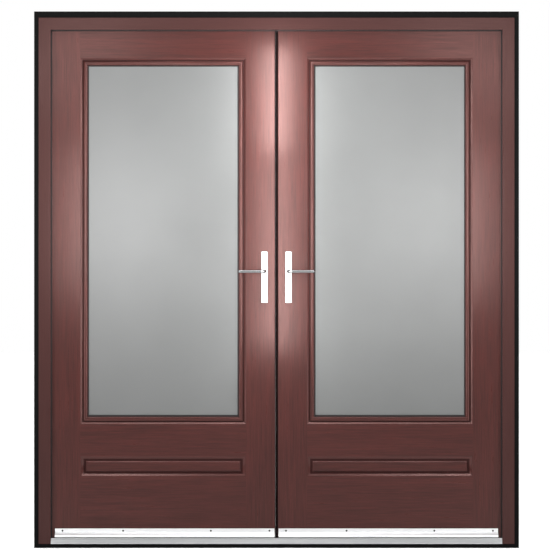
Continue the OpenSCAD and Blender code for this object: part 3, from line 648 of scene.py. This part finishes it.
def flipperSeal(name):
    low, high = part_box("master_timber_frame")
    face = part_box("master_outer_skin")[0].y
    y = face + flipper["behindFace"]
    piece = boxPiece(name, (-flipper["foot"], y, low.z), (-flipper["tip"], y + flipper["depth"], high.z))
    tip = -flipper["tip"]
    tipMiddle = (tip, y + flipper["depth"] / 2, (low.z + high.z) / 2)
    editFaces(piece, lambda centre, normal: normal.x > facing)
    bpy.ops.transform.resize(value=(1, flipper["tipThickness"], 1), center_override=tipMiddle)
    editEdges(piece, lambda edge: all(abs(v.co.x - tip) < touching for v in edge.verts))
    bpy.ops.mesh.bevel(offset=flipper["rounding"], segments=flipper["roundingSteps"], affect="EDGES")
    bpy.ops.object.mode_set(mode="OBJECT")
    smoothByAngle(piece, flipper["smoothTo"])
    piece.data.materials.append(finishes["black_rubber"])
    return settle(piece, "master_leaf", [], "black_rubber")


flipperSeal("master_flipper_seal")


studio = {
    # power in watts, place, width and height, and turn in degrees where a lamp does not face the door
    "lamps": {
        "topStrip": (3.6, (0.0, -0.34, 1.80), (0.09, 0.42)),
        "middleStrip": (4.6, (0.0, -0.45, 1.18), (0.12, 0.80)),
        "overDoor": (10.0, (0.0, -1.8, 2.55), (1.9, 0.4)),
        "upperLeft": (3.0, (-0.9, -1.2, 2.0), (0.5, 0.4)),
        "upperRight": (3.0, (0.9, -1.2, 2.0), (0.5, 0.4)),
        "leftGlow": (8.5, (-0.68, -0.9, 1.32), (0.3, 0.6)),
        "rightGlow": (8.5, (0.68, -0.9, 1.32), (0.3, 0.6)),
        "leftGraze": (19.0, (-1.5, -0.92, 1.2), (0.3, 1.9), (90, 0, -90)),
        "rightGraze": (19.0, (1.5, -0.92, 1.2), (0.3, 1.9), (90, 0, 90)),
        "topGraze": (34.0, (0.0, -1.1, 3.2), (2.0, 0.4), (0, 0, 0)),
        "lowFill": (0.6, (0.0, -1.5, 0.8), (0.6, 0.6)),
    },
    # how bright the sky is in front of the door, behind it, and how much brighter overhead
    "front": 0.10,
    "behind": 1.0,
    "overhead": 2.4,
    "backwardBlend": (-0.02, 0.25),
    "upwardBlend": (0.15, 1.0),
    "floor": (0.93, 0.93, 0.93),
    "floorDark": (0.90, 0.90, 0.90),
    "floorRoughness": 0.9,
    "floorSize": 60,
    "floorGap": 0.0005,
}


def addLight(name, power, place, size, turn=(90, 0, 0)):
    deselectAll()
    bpy.ops.object.light_add(type="AREA", location=place, rotation=[math.radians(angle) for angle in turn])
    lamp = bpy.context.active_object
    lamp.name = name
    lamp.data.shape = "RECTANGLE"
    lamp.data.size, lamp.data.size_y = size
    lamp.data.energy = power
    lamp.visible_camera = False
    return lamp


for lampName, lampSetting in studio["lamps"].items():
    addLight(lampName, *lampSetting)

world = bpy.data.worlds.new("studioWorld")
bpy.context.scene.world = world
world.use_nodes = True
sky = world.node_tree
background = sky.nodes["Background"]
background.inputs["Color"].default_value = (1, 1, 1, 1)
direction = sky.nodes.new("ShaderNodeTexCoord")
parts = sky.nodes.new("ShaderNodeSeparateXYZ")
sky.links.new(direction.outputs["Generated"], parts.inputs["Vector"])
frontToBack = studio["front"], studio["behind"]
sidewaysToUp = 1.0, 1.0 + studio["overhead"]
backward = mapRange(sky, parts.outputs["Y"], studio["backwardBlend"], frontToBack)
upward = mapRange(sky, parts.outputs["Z"], studio["upwardBlend"], sidewaysToUp)
product = sky.nodes.new("ShaderNodeMath")
product.operation = "MULTIPLY"
sky.links.new(backward, product.inputs[0])
sky.links.new(upward, product.inputs[1])
sky.links.new(product.outputs["Value"], background.inputs["Strength"])

deselectAll()
bpy.ops.mesh.primitive_plane_add(size=studio["floorSize"], location=(0, 0, cadBox[0].z - studio["floorGap"]))
floor = bpy.context.active_object
floor.name = "floor"
floorFinish, floorShader = startFinish("paleFloor", specular=0.1)
floorNoise = addNode(floorFinish, "ShaderNodeTexNoise", Scale=6.0)
floorColour = colourBetween(floorFinish, floorNoise.outputs["Fac"], studio["floorDark"], studio["floor"])
wire(floorFinish, floorColour, floorShader.inputs["Base Color"])
floorShader.inputs["Roughness"].default_value = studio["floorRoughness"]
floor.data.materials.append(floorFinish)

camera = {"distance": 12.0, "pictureHeight": 2.179, "x": -0.006, "z": 1.084, "sensor": 36, "clipEnd": 100}
cameraPlace = (camera["x"], cadBox[0].y - camera["distance"], camera["z"])
deselectAll()
bpy.ops.object.camera_add(location=cameraPlace, rotation=(math.pi / 2, 0, 0))
viewer = bpy.context.active_object
viewer.data.sensor_width = camera["sensor"]
viewer.data.lens = camera["sensor"] * camera["distance"] / camera["pictureHeight"]
viewer.data.clip_end = camera["clipEnd"]
bpy.context.scene.camera = viewer
bpy.context.scene.view_settings.view_transform = "Standard"
print("studio ready")
